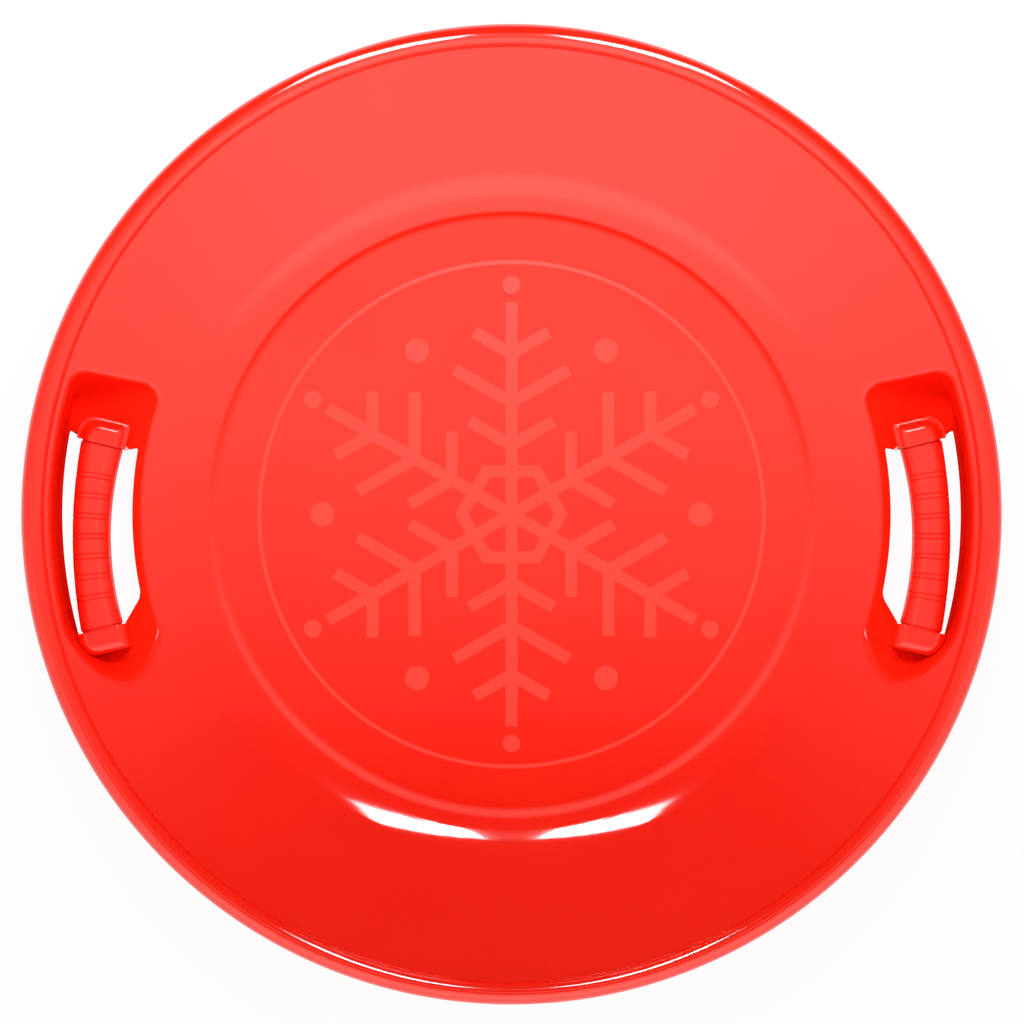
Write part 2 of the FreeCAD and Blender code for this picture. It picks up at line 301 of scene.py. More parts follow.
class Skin:
    """Blocks of points and normals that are welded into one closed mesh."""

    def __init__(self):
        self.points, self.normals, self.quads, self.count = [], [], [], 0

    def grid(self, points, normals, closed=False):
        """Adds a grid of rows of points, whose columns can run round to the first again."""
        rows, columns = points.shape[:2]
        index = np.arange(rows * columns).reshape(rows, columns) + self.count
        if closed:
            index = np.concatenate([index, index[:, :1]], axis=1)
        quads = np.stack([index[:-1, :-1], index[:-1, 1:], index[1:, 1:], index[1:, :-1]], axis=-1)
        self.points.append(points.reshape(-1, 3))
        self.normals.append(normals.reshape(-1, 3))
        self.quads.append(quads.reshape(-1, 4))
        self.count += rows * columns

    def mesh(self, name):
        """The welded mesh, in metres, with its faces turned outwards and the blocks' own normals."""
        points, normals = np.concatenate(self.points), np.concatenate(self.normals)
        keys = np.round(points, WELD_DIGITS)
        _, first, welded = np.unique(keys, axis=0, return_index=True, return_inverse=True)
        welded = welded.reshape(-1)
        summed = np.zeros((len(first), 3))
        np.add.at(summed, welded, normals)
        points, normals = points[first], unit(summed)
        quads = welded[np.concatenate(self.quads)]
        faces = [list(dict.fromkeys(quad)) for quad in quads.tolist()]
        made = bpy.data.meshes.new(name)
        made.from_pydata((points * MM).tolist(), [], [face for face in faces if len(face) > 2])
        work = bmesh.new()
        work.from_mesh(made)
        bmesh.ops.recalc_face_normals(work, faces=work.faces)
        work.to_mesh(made)
        work.free()
        made.shade_smooth()
        made.normals_split_custom_set_from_vertices(normals.tolist())
        return made


def flipped(points, side):
    """Right-hand points or normals put at a side."""
    return points * np.array([side, 1.0, 1.0])


def piece(name, mesh, material, slot, *nodes):
    """Adds a shown piece on the sled's one body, in place of its nodes."""
    obj = bpy.data.objects.new(name, mesh)
    bpy.context.scene.collection.objects.link(obj)
    obj.data.materials.append(material)
    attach(obj, BODY)
    if nodes:
        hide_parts(*nodes)


# Dish

def room(points, grow):
    """Distance outside the right-hand pocket's room, grown by a distance."""
    y, up = points[..., 1], points[..., 2] - POCKET_LEVEL
    floor = -up - grow
    lean = up * math.sin(POCKET_DRAFT)
    front = (y - POCKET_FRONT) * math.cos(POCKET_DRAFT) - lean - grow
    rear = (-y - POCKET_REAR) * math.cos(POCKET_DRAFT) - lean - grow
    outer = np.hypot(points[..., 0], y) - POCKET_OUTER - grow
    return np.maximum.reduce([
        round_max(floor, front, POCKET_FRONT_BEND + grow),
        ramped(floor, rear, grow),
        round_max(floor, outer, POCKET_FOOT + grow),
        round_max(front, outer, POCKET_CORNER + grow),
        round_max(rear, outer, POCKET_REAR_CORNER + grow),
    ])


def ramped(floor, rear, grow):
    """The larger of the distances past floor and rear wall, with a ramp that bends up into the wall."""
    bend = POCKET_REAR_BEND + grow
    ramp = (floor + bend) * math.cos(POCKET_RAMP) + (rear + bend) * math.sin(POCKET_RAMP) - bend
    on_ramp = (rear + bend) * math.cos(POCKET_RAMP) < (floor + bend) * math.sin(POCKET_RAMP)
    past_ramp = round_max(floor, ramp, POCKET_RAMP_FOOT + grow)
    return np.where(on_ramp, past_ramp, round_max(floor, rear, bend))


def mouth_round(points, radius):
    """The round of the pocket's mouth: wider at its rear end, but not at the narrow ridge by the rim."""
    rearward = smooth_step(REAR_MOUTH_START, REAR_MOUTH_START + REAR_MOUTH_REACH, -points[..., 1])
    inward = smooth_step(0, REAR_MOUTH_RIM, POCKET_OUTER - radius)
    return MOUTH_ROUND + (REAR_MOUTH_ROUND - MOUTH_ROUND) * rearward * inward


def slot_front(points):
    """Distance past the slot's front end, which splays forward at both sides of the grip."""
    offset = points[..., :2] - CAP_ORIGIN - SETBACK
    beside = np.maximum(np.abs(offset @ CAP_ACROSS) - GRIP_END_WIDTH / 2, 0)
    return (offset @ CAP_ALONG + SLOT_INSET - SLOT_SPLAY * beside) / math.hypot(1, SLOT_SPLAY)


def slot_rear(points):
    """Distance past the slot's rear end line."""
    start = (CAP_ORIGIN + CAP_ALONG * WALL) * TO_REAR + SETBACK
    return (points[..., :2] - start) @ (CAP_ALONG * TO_REAR)


def slot_corner(flip, radius):
    """A plan point by the slot's corner, where a line across its end meets a circle about the axis."""
    start = (CAP_ORIGIN + CAP_ALONG * WALL) * flip + SETBACK
    heading = CAP_ACROSS * flip
    along = -start @ heading + math.copysign(1, heading[0]) * math.sqrt(
        (start @ heading) ** 2 - start @ start + radius ** 2
    )
    return start + heading * along


def slot_distance(points):
    """Distance outside the slot's outline in plan."""
    radius = np.hypot(points[..., 0], points[..., 1])
    corner = slot_corner(TO_REAR, SLOT_INNER)
    facing = unit(CAP_ALONG * TO_REAR - unit(corner))
    cut = (points[..., :2] - corner) @ facing + SLOT_CUT / math.sqrt(2)
    sides = np.maximum(SLOT_INNER - radius, radius - SLOT_OUTER)
    outline = round_max(sides, slot_front(points), SLOT_FRONT_CORNER)
    for part in (slot_rear(points), cut):
        outline = round_max(outline, part, SLOT_CORNER)
    return outline


def upper_field(points):
    """Above zero in the air over the dish's upper skin, round the right-hand pocket."""
    radius = np.hypot(points[..., 0], points[..., 1])
    over = (points[..., 2] - slope_height(radius)) * math.cos(SLOPE)
    pocketed = round_max(over, -room(points, 0), mouth_round(points, radius))
    height = points[..., 2] - POCKET_LEVEL - SLOT_CUT_TOP
    return round_max(pocketed, -np.maximum(slot_distance(points), height), SLOT_EDGE_ROUND)


def lower_field(points):
    """Above zero in the air under the dish's lower skin, round the right-hand pocket."""
    radius = np.hypot(points[..., 0], points[..., 1])
    under = (slope_height(radius) - LOWER_DROP - points[..., 2]) * math.cos(SLOPE)
    pocketed = round_min(under, room(points, WALL), UNDERSIDE_ROUND)
    flange = np.maximum(slot_distance(points) - WALL, FLANGE_END - points[..., 2])
    return round_min(pocketed, flange, UNDERSIDE_ROUND)


def polar(radius, angle):
    """Plan points at radii and angles."""
    return np.stack(np.broadcast_arrays(radius * np.cos(angle), radius * np.sin(angle)), axis=-1)


SECTOR_ANGLES = np.linspace(SECTOR_REAR, SECTOR_FRONT, SECTOR_COLUMNS + 1)
SECTOR_RADII = np.linspace(SECTOR_INNER, SECTOR_OUTER, SECTOR_ROWS + 1)


def sector_loop():
    """The plan loop round a pocket's sector: inner side, front, outer side and rear."""
    return np.concatenate([
        polar(SECTOR_INNER, SECTOR_ANGLES)[:-1],
        polar(SECTOR_RADII, SECTOR_FRONT)[:-1],
        polar(SECTOR_OUTER, SECTOR_ANGLES[::-1])[:-1],
        polar(SECTOR_RADII[::-1], SECTOR_REAR)[:-1],
    ])


def slot_loop():
    """The slot's plan outline, with one point for each point of the sector's loop."""
    front = [slot_corner(TO_FRONT, radius) for radius in (SLOT_INNER, SLOT_OUTER)]
    rear = [slot_corner(TO_REAR, radius) for radius in (SLOT_INNER, SLOT_OUTER)]
    turns = [math.atan2(spot[1], spot[0]) for spot in (rear[0], front[0], front[1], rear[1])]
    cut_turn = turns[0] + SLOT_CUT / SLOT_INNER
    cut_end = polar(SLOT_INNER, cut_turn)
    cut_start = rear[0] + unit(rear[1] - rear[0]) * SLOT_CUT
    share = np.linspace(0, 1, SECTOR_ROWS + 1)[:, None]
    end_line = front[0] + (front[1] - front[0]) * share
    half = SECTOR_ROWS // 2
    share = np.linspace(0, 1, half + 1)[:, None]
    rear_line = rear[1] + (cut_start - rear[1]) * share
    cut_line = cut_start + (cut_end - cut_start) * share
    loop = np.concatenate([
        polar(SLOT_INNER, np.linspace(cut_turn, turns[1], SECTOR_COLUMNS + 1))[:-1],
        end_line[:-1],
        polar(SLOT_OUTER, np.linspace(turns[2], turns[3], SECTOR_COLUMNS + 1))[:-1],
        rear_line[:-1],
        cut_line[:-1],
    ])
    return settle(slot_distance, loop)


def pocket_sheet(field, drop, grow):
    """Rows of points from a sector's edge over the pocket's mouth, wall and floor to its flange."""
    level, end = POCKET_LEVEL - grow, FLANGE_END + WALL / 2

    def on_slope(plan):
        height = slope_height(np.hypot(plan[..., 0], plan[..., 1])) - drop
        return np.concatenate([plan, height[..., None]], axis=-1)

    def on_floor(plan):
        return np.concatenate([plan, np.full((len(plan), 1), level + FOOT_TEST)], axis=-1)

    def crossing(start, stop, lift):
        def outside(share):
            return room(lift(start + (stop - start) * share[:, None]), grow) > 0

        return turning_point(outside, np.zeros(len(start)), np.ones(len(start)))[:, None]

    edge, slot = sector_loop(), slot_loop()
    slot = slot + unit(gradient(slot_distance, slot)) * grow
    mouth = edge + (slot - edge) * crossing(edge, slot, on_slope)
    top = on_slope(mouth)
    foot = on_floor(mouth + (slot - mouth) * np.clip(crossing(mouth, slot, on_floor), *FOOT_SHARES))
    lip = on_floor(slot)
    bottom = lip + np.array([0, 0, end - level])
    approach = [on_slope(edge + (mouth - edge) * share) for share in eased(APPROACH_ROWS, start=False)]
    wall = [top + (foot - top) * share for share in eased(WALL_ROWS)[1:]]
    floor = [foot + (lip - foot) * share for share in eased(FLOOR_ROWS)[1:]]
    flange = [lip + (bottom - lip) * share for share in eased(FLANGE_ROWS, end=False)[1:]]
    rows = np.array(approach + wall + floor + flange)
    rows[1:] = settle(field, rows[1:])
    rows[-1, :, 2] = end
    return rows, unit(gradient(field, rows))


def turned(path, normals, angles):
    """A path of (radius, height) pairs and its normals, turned to every angle."""
    points = np.concatenate([
        polar(path[:, :1], angles[None]),
        np.broadcast_to(path[:, 1, None, None], (len(path), len(angles), 1)),
    ], axis=-1)
    facing = np.concatenate([
        polar(normals[:, :1], angles[None]),
        np.broadcast_to(normals[:, 1, None, None], (len(path), len(angles), 1)),
    ], axis=-1)
    return points, facing


def round_angles():
    """All the angles of the dish's columns, once round from the right-hand pocket's rear."""
    front = np.linspace(SECTOR_FRONT, math.pi - SECTOR_FRONT, ARC_COLUMNS + 1)
    left = math.pi - SECTOR_ANGLES[::-1]
    rear = np.linspace(math.pi - SECTOR_REAR, 2 * math.pi + SECTOR_REAR, ARC_COLUMNS + 1)
    return [SECTOR_ANGLES, front, left, rear]


def floor_path(base, bend, drop):
    """The half section from the axis over the floor and bend to the sectors' inner edge."""
    corner = FLOOR_RADIUS + bend * math.tan(SLOPE / 2)
    path = [(0, base, 0), (corner, base, bend), (SECTOR_INNER, slope_height(SECTOR_INNER) - drop, 0)]
    return rounded_path(path)


def rim_path():
    """The half section from the sectors' outer edge over the rolled rim, down its skirt and back."""
    skirt_end = slope_height(CREASE) - RIM_SKIRT - WALL / 2
    inner = RIM_RADIUS - WALL
    under = CREASE + WALL
    hem = WALL / 2
    return rounded_path([
        (SECTOR_OUTER, slope_height(SECTOR_OUTER), 0),
        (CREASE, slope_height(CREASE), CREASE_ROUND),
        (CREASE, RIM_TOP, BEAD_RADIUS - CREASE_RISE),
        (RIM_RADIUS, RIM_TOP, BEAD_RADIUS),
        (RIM_RADIUS, skirt_end, hem),
        (inner, skirt_end, hem),
        (inner, RIM_TOP - WALL, BEAD_RADIUS - WALL),
        (under, RIM_TOP - WALL, BEAD_RADIUS - WALL - CREASE_RISE),
        (under, slope_height(under) - LOWER_DROP, CREASE_RISE),
        (SECTOR_OUTER, slope_height(SECTOR_OUTER) - LOWER_DROP, 0),
    ])


def flange_hem(upper, lower):
    """The half-round edge that joins the last rows of a flange's two skins, with its normals."""
    middle = (upper + lower) / 2
    reach = np.linalg.norm(upper - middle, axis=-1)[:, None]
    angles = np.linspace(0, math.pi, HEM_STEPS + 1)[:, None, None]
    down = np.array([0, 0, -1.0])
    normals = unit(upper - middle) * np.cos(angles) + down * np.sin(angles)
    points = middle + normals * reach
    points[0], points[-1] = upper, lower
    return points, normals


def dish_mesh():
    """The whole dish: one closed skin with its pockets, slots, flanges and rolled rim."""
    skin = Skin()
    bands = round_angles()
    all_angles = np.concatenate([band[:-1] for band in bands])
    for path, normals in (floor_path(WALL, BEND_RADIUS, 0), rim_path()):
        skin.grid(*turned(path, normals, all_angles), closed=True)
    path, normals = floor_path(0, BEND_RADIUS + WALL, LOWER_DROP)
    skin.grid(*turned(path, -normals, all_angles), closed=True)
    tilt = np.array([-math.sin(SLOPE), math.cos(SLOPE)])
    for drop, facing in ((0, tilt), (LOWER_DROP, -tilt)):
        path = np.stack([SECTOR_RADII, slope_height(SECTOR_RADII) - drop], axis=-1)
        for band in (bands[1], bands[3]):
            skin.grid(*turned(path, np.tile(facing, (len(path), 1)), band))
    upper = pocket_sheet(upper_field, 0, 0)
    lower = pocket_sheet(lower_field, LOWER_DROP, WALL)
    hem = flange_hem(upper[0][-1], lower[0][-1])
    for side in SIDES.values():
        for points, normals in (upper, lower, hem):
            skin.grid(flipped(points, side), flipped(normals, side), closed=True)
    return skin.mesh("dish_skin")


# Grips

def bowed(mid, bow, along):
    """How far out a bowed line of the grip lies, when it draws in by bow at the caps."""
    radius = (GRIP_HALF_SPAN ** 2 + bow ** 2) / (2 * bow)
    return mid - radius + np.sqrt(radius ** 2 - along ** 2)


def grip_stations():
    """Places along the grip, close together at the ribs and at the necks by the caps."""
    reach = GRIP_HALF_SPAN + GRIP_TUCK
    places = list(np.linspace(-reach, reach, GRIP_STEPS))
    half = RIB_WIDTH / 2
    marks = [0, half - 2 * RIB_EDGE, half - RIB_EDGE, half, half + RIB_EDGE]
    marks += [half + RIB_EDGE + GROOVE_WIDTH * share for share in GROOVE_MARKS]
    for rib in rib_places():
        places += [rib + sign * mark for mark in marks for sign in (-1, 1)]
    neck = GRIP_HALF_SPAN - NECK_WIDTH
    for mark in (-2 * RIB_EDGE, -RIB_EDGE, 0, RIB_EDGE, NECK_WIDTH, NECK_WIDTH + RIB_EDGE):
        places += [neck + mark, -neck - mark]
    return np.unique(np.round(places, STATION_DIGITS))


def rib_places():
    """Where the ribs' middles lie along the grip."""
    return (np.arange(RIB_COUNT) - (RIB_COUNT - 1) / 2) * RIB_PITCH


def rib_relief(along):
    """How far the grip's top stands out at places along it: low ribs with fine grooves beside them."""
    relief = np.zeros_like(along)
    half = RIB_WIDTH / 2
    for rib in rib_places():
        off = np.abs(along - rib)
        relief += RIB_HEIGHT * (1 - smooth_step(half - RIB_EDGE, half, off))
        dip = np.clip(1 - np.abs(off - half - GROOVE_WIDTH / 2) / GROOVE_WIDTH, 0, 1)
        relief -= GROOVE_DEPTH * smooth_step(0, 1, dip)
    return relief


def neck_relief(along):
    """How far the grip's skin draws in at its ends, where a dark line parts it from the caps."""
    neck = GRIP_HALF_SPAN - NECK_WIDTH
    return -NECK_DEPTH * smooth_step(neck - RIB_EDGE, neck, np.abs(along))


def grip_section(half, upper):
    """Points and normals round a shell's section, from the middle of its underside and back to it."""
    if upper:
        low, low_round = GRIP_PARTING + GRIP_SEAM, GRIP_EDGE_ROUND
        high, high_round = GRIP_CREST, GRIP_TOP_ROUND
    else:
        low, low_round = GRIP_BOTTOM, GRIP_BOTTOM_ROUND
        high, high_round = GRIP_PARTING, GRIP_EDGE_ROUND
    return rounded_path([
        (0, low, 0),
        (-half, low, low_round),
        (-half, high, high_round),
        (half, high, high_round),
        (half, low, low_round),
        (0, low, 0),
    ])


def grip_mesh(name, side, upper):
    """One shell of a grip: its section swept along the bow, closed at its ends."""
    along = grip_stations()
    outer = bowed(GRIP_OUTER, GRIP_BOW, along)
    inner = bowed(GRIP_OUTER - GRIP_MID_WIDTH, GRIP_BOW + GRIP_END_WIDTH - GRIP_MID_WIDTH, along)
    middle = (outer + inner) / 2
    heading = np.gradient(middle, along)
    across = unit(np.stack([np.ones_like(heading), -heading], axis=-1))
    parting = GRIP_PARTING + GRIP_SEAM if upper else GRIP_PARTING
    rows = []
    stations = zip(middle, along, across, (outer - inner) / 2, neck_relief(along), rib_relief(along))
    for centre, y, direction, half, neck, rib in stations:
        section, facing = grip_section(half, upper)
        free = np.minimum(np.abs(section[:, 1] - parting) / GRIP_EDGE_ROUND, 1)
        ribbed = smooth_step(*RIB_FADE, section[:, 1] - parting)
        section = section + facing * (neck * free + rib * ribbed)[:, None]
        plan = np.array([centre, y]) + section[:, :1] * direction
        rows.append(np.concatenate([plan + SETBACK, section[:, 1:]], axis=-1))
    rows = np.array(rows)
    first, last = (np.broadcast_to(row.mean(axis=0), (1, *row.shape)) for row in (rows[0], rows[-1]))
    rows = np.concatenate([first, rows, last])
    normals = np.cross(np.gradient(rows, axis=0), np.gradient(rows, axis=1))
    outwards = rows - rows.mean(axis=1, keepdims=True)
    normals = unit(normals) * np.sign(np.sum(normals * outwards, axis=-1, keepdims=True))
    skin = Skin()
    skin.grid(flipped(rows, side), flipped(normals, side))
    return skin.mesh(name)


# End caps

def cap_tier(points, drop, back, rim, inner, edge):
    """Distance outside one tier of the cap, which stands lower than its top and in from its sides."""
    across, along, height = points[..., 0], points[..., 1], points[..., 2]
    outline = round_max(along - CAP_LENGTH + back, across - CAP_WIDTH / 2 + rim, CAP_RIM_CORNER)
    outline = round_max(outline, -across - CAP_WIDTH / 2 + inner, CAP_INNER_CORNER)
    return round_max(outline, height - CAP_TOP + drop, edge)


def front_cap(points):
    """Distance outside the front cap's block of two tiers, for points as (across, along, height)."""
    lower = cap_tier(points, CAP_STEP, 0, 0, 0, CAP_STEP_EDGE)
    upper = cap_tier(points, 0, CAP_BACK_INSET, CAP_RIM_INSET, CAP_INNER_INSET, CAP_TOP_ROUND)
    return seated_cap(points, round_min(lower, upper, CAP_STEP_ROUND), TO_FRONT)


def rear_cap(points):
    """Distance outside the rear cap's plain block, for points as (across, along, height)."""
    return seated_cap(points, cap_tier(points, 0, 0, 0, 0, CAP_REAR_ROUND), TO_REAR)


def seated_cap(points, block, flip):
    """A cap's block ended at the grip and trimmed to the pocket that it stands in."""
    block = round_max(block, -points[..., 1], CAP_FRONT_ROUND)
    return round_max(block, room(cap_spots(points, flip), -CAP_CLEARANCE), CAP_FRONT_ROUND)


def cap_floor(points, flip):
    """Heights of the pocket's skin at a cap's points, with the clearance, up to half the cap's height."""
    def outside(height):
        spots = np.concatenate([points[..., :2], height[..., None]], axis=-1)
        return room(cap_spots(spots, flip), -CAP_CLEARANCE) > 0

    low = np.full(points.shape[:-1], POCKET_LEVEL)
    return turning_point(outside, low, np.full_like(low, (POCKET_LEVEL + CAP_TOP) / 2))


def cap_spots(points, flip):
    """Points given as (across, along, height) of a cap, at their place in the right-hand pocket."""
    plan = CAP_ORIGIN + points[..., :1] * CAP_ACROSS + points[..., 1:2] * CAP_ALONG
    return np.concatenate([plan * flip + SETBACK, points[..., 2:]], axis=-1)


def box_faces(low, high, counts):
    """The six sides of a box as grids of points, closer together towards its edges."""
    shares = [low[axis] + (high[axis] - low[axis]) * eased(counts[axis]) for axis in range(3)]
    for axis in range(3):
        first, second = [other for other in range(3) if other != axis]
        grid_first, grid_second = np.meshgrid(shares[first], shares[second], indexing="ij")
        for end in (low[axis], high[axis]):
            points = np.empty(grid_first.shape + (3,))
            points[..., axis] = end
            points[..., first], points[..., second] = grid_first, grid_second
            yield points


def cap_mesh(name, side, flip, field):
    """An end cap, settled from a box whose heights are shares of the rise over the pocket's skin."""
    skin = Skin()
    low, high = (-CAP_WIDTH / 2, 0.0, 0.0), (CAP_WIDTH / 2, CAP_LENGTH, 1.0)
    middle = (np.array(low) + np.array(high)) / 2
    for points in box_faces(low, high, CAP_CELLS):
        points = middle + (points - middle) * CAP_START
        floor = cap_floor(points, flip)
        points[..., 2] = floor + (CAP_TOP - floor) * points[..., 2]
        points = settle(field, points, CAP_ROUNDS)
        normals = unit(gradient(field, points))
        facing = normals[..., :1] * CAP_ACROSS + normals[..., 1:2] * CAP_ALONG
        normals = np.concatenate([facing * flip, normals[..., 2:]], axis=-1)
        skin.grid(flipped(cap_spots(points, flip), side), flipped(normals, side))
    return skin.mesh(name)


def pin_mesh(name, side, flip):
    """The barbed snap pin that shows below the pocket floor."""
    barb_top = POCKET_LEVEL - WALL - CAP_CLEARANCE
    tip = barb_top - PIN_TIP
    path, normals = rounded_path([
        (0, tip, 0),
        (PIN_RADIUS - PIN_BARB, tip, CAP_CLEARANCE),
        (PIN_RADIUS + PIN_BARB, barb_top, CAP_CLEARANCE),
        (PIN_RADIUS, barb_top, CAP_CLEARANCE),
        (PIN_RADIUS, GRIP_BOTTOM, CAP_CLEARANCE),
        (0, GRIP_BOTTOM, 0),
    ])
    points, facing = turned(path, -normals, np.linspace(0, 2 * math.pi, PIN_COLUMNS + 1)[:-1])
    spot = (CAP_ORIGIN + CAP_ALONG * PIN_SETBACK) * flip + SETBACK
    points = points + np.array([spot[0], spot[1], 0])
    skin = Skin()
    skin.grid(flipped(points, side), flipped(facing, side), closed=True)
    return skin.mesh(name)


# Materials

class Nodes:
    """Short ways to add and join the nodes of a material or of the world."""

    def __init__(self, tree):
        self.tree = tree

    def add(self, kind, **settings):
        """A new node with its settings."""
        node = self.tree.nodes.new(kind)
        for name, value in settings.items():
            setattr(node, name, value)
        return node

    def join(self, output, socket):
        """A link from an output to a socket."""
        self.tree.links.new(output, socket)

    def math(self, operation, *values):
        """The output of a math node on sockets or plain numbers."""
        node = self.add("ShaderNodeMath", operation=operation)
        for socket, value in zip(node.inputs, values):
            if isinstance(value, (int, float)):
                socket.default_value = value
            else:
                self.join(value, socket)
        return node.outputs[0]

    def noise(self, vector, scale, detail=2.0):
        """A soft noise of about 1 / scale metres."""
        node = self.add("ShaderNodeTexNoise")
        node.inputs["Scale"].default_value = scale
        node.inputs["Detail"].default_value = detail
        self.join(vector, node.inputs["Vector"])
        return node.outputs["Fac"]

    def spread(self, value, low, high, steps="LINEAR", start=0.0, end=1.0):
        """A value from start to end drawn out to low and high."""
        node = self.add("ShaderNodeMapRange", interpolation_type=steps)
        for name, number in (("From Min", start), ("From Max", end), ("To Min", low), ("To Max", high)):
            node.inputs[name].default_value = number
        self.join(value, node.inputs["Value"])
        return node.outputs["Result"]

    def split(self, vector):
        """The X, Y and Z of a vector."""
        node = self.add("ShaderNodeSeparateXYZ")
        self.join(vector, node.inputs[0])
        return [node.outputs[axis] for axis in "XYZ"]

    def length(self, first, second):
        """The length of a vector of two parts."""
        squares = [self.math("MULTIPLY", part, part) for part in (first, second)]
        return self.math("SQRT", self.math("ADD", *squares))

    def tint(self, factor, first, second):
        """A colour between two, each an output or plain numbers."""
        node = self.add("ShaderNodeMix", data_type="RGBA")
        self.join(factor, node.inputs["Factor"])
        for name, colour in (("A", first), ("B", second)):
            if isinstance(colour, tuple):
                node.inputs[name].default_value = (*colour, 1)
            else:
                self.join(colour, node.inputs[name])
        return node.outputs["Result"]

    def shade(self, factor, first, second):
        """A shader between two others."""
        node = self.add("ShaderNodeMixShader")
        for socket, output in zip(node.inputs, (factor, first, second)):
            self.join(output, socket)
        return node.outputs[0]


# Colours and skins of the plastic, with lengths in metres
RED = (0.95, 0.0145, 0.0036)
DEEP_RED = (0.94, 0.0115, 0.003)
PRINT_RED = (0.95, 0.044, 0.028)
FLOW_SCALE = 9.0
FLOW_DETAIL = 3.0
FLOW_SPAN = (0.3, 0.7)
GLOSS_SCALE = 60.0
GLOSS_DETAIL = 4.0
GLOSS_SWING = 0.12
PRINT_ROUGHER = 0.12
PEEL_SCALE = 420.0
PEEL_DEPTH = 0.0002
PLASTIC_IOR = 1.5
PLASTIC_SPECULAR = 0.5
COAT_ROUGHNESS = 0.03
MATT_ROUGHER = 0.3
MATT_DEPTH = (0.0004, 0.0016)
MATT_EDGE = 0.002
MATT_REACH = (CREASE * MM - MATT_EDGE, CREASE * MM)


def red_plastic(name, roughness, coat, peel, print_mask=None, matt_mask=None):
    """Glossy moulded red plastic: faint colour flow, uneven gloss and a fine skin texture."""
    material = bpy.data.materials.new(name)
    material.use_nodes = True
    nodes = Nodes(material.node_tree)
    shader = material.node_tree.nodes["Principled BSDF"]
    place = nodes.add("ShaderNodeTexCoord").outputs["Object"]
    flow = nodes.spread(nodes.noise(place, FLOW_SCALE, FLOW_DETAIL), 0, 1, "SMOOTHSTEP", *FLOW_SPAN)
    colour = nodes.tint(flow, DEEP_RED, RED)
    uneven = nodes.noise(place, GLOSS_SCALE, GLOSS_DETAIL)
    gloss = nodes.spread(uneven, roughness * (1 - GLOSS_SWING), roughness * (1 + GLOSS_SWING))
    shader.inputs["Coat Weight"].default_value = coat
    if print_mask:
        mask = print_mask(nodes, place)
        colour = nodes.tint(mask, colour, PRINT_RED)
        gloss = nodes.math("ADD", gloss, nodes.math("MULTIPLY", mask, PRINT_ROUGHER))
    if matt_mask:
        mask = matt_mask(nodes, place)
        gloss = nodes.math("ADD", gloss, nodes.math("MULTIPLY", mask, MATT_ROUGHER))
        nodes.join(nodes.spread(mask, PLASTIC_SPECULAR, 0), shader.inputs["Specular IOR Level"])
        nodes.join(nodes.spread(mask, coat, 0), shader.inputs["Coat Weight"])
    nodes.join(colour, shader.inputs["Base Color"])
    nodes.join(gloss, shader.inputs["Roughness"])
    shader.inputs["IOR"].default_value = PLASTIC_IOR
    shader.inputs["Coat Roughness"].default_value = COAT_ROUGHNESS
    bump = nodes.add("ShaderNodeBump")
    bump.inputs["Strength"].default_value = peel
    bump.inputs["Distance"].default_value = PEEL_DEPTH
    nodes.join(nodes.noise(place, PEEL_SCALE), bump.inputs["Height"])
    nodes.join(bump.outputs["Normal"], shader.inputs["Normal"])
    return material


def pocket_matt(nodes, place):
    """Where the dish's skin is matt: 1 down in the hand pockets and 0 on the slope and floor."""
    x, y, z = nodes.split(place)
    radius = nodes.length(x, y)
    slope = nodes.math("MULTIPLY", radius, math.tan(SLOPE))
    slope = nodes.math("ADD", slope, slope_height(0.0) * MM)
    deep = nodes.spread(nodes.math("SUBTRACT", slope, z), 0, 1, "SMOOTHSTEP", *MATT_DEPTH)
    within = nodes.spread(radius, 1, 0, "SMOOTHSTEP", *MATT_REACH)
    return nodes.math("MULTIPLY", deep, within)


# Printed snowflake, in metres: branches have a start and a length, and dots a reach and a radius
FLAKE_FOLD = math.radians(30.0)
FLAKE_LEAN = math.radians(60.0)
FLAKE_ARM = 0.148
FLAKE_LINE = 0.0042
FLAKE_BRANCHES = ((0.048, 0.034), (0.078, 0.046), (0.112, 0.030))
FLAKE_HUB = 0.030
FLAKE_TIP_DOT = (0.160, 0.0062)
FLAKE_GAP_DOT = (0.132, 0.0085)
FLAKE_RING = 0.176
FLAKE_RING_LINE = 0.0014
FLAKE_EDGE = 0.0003


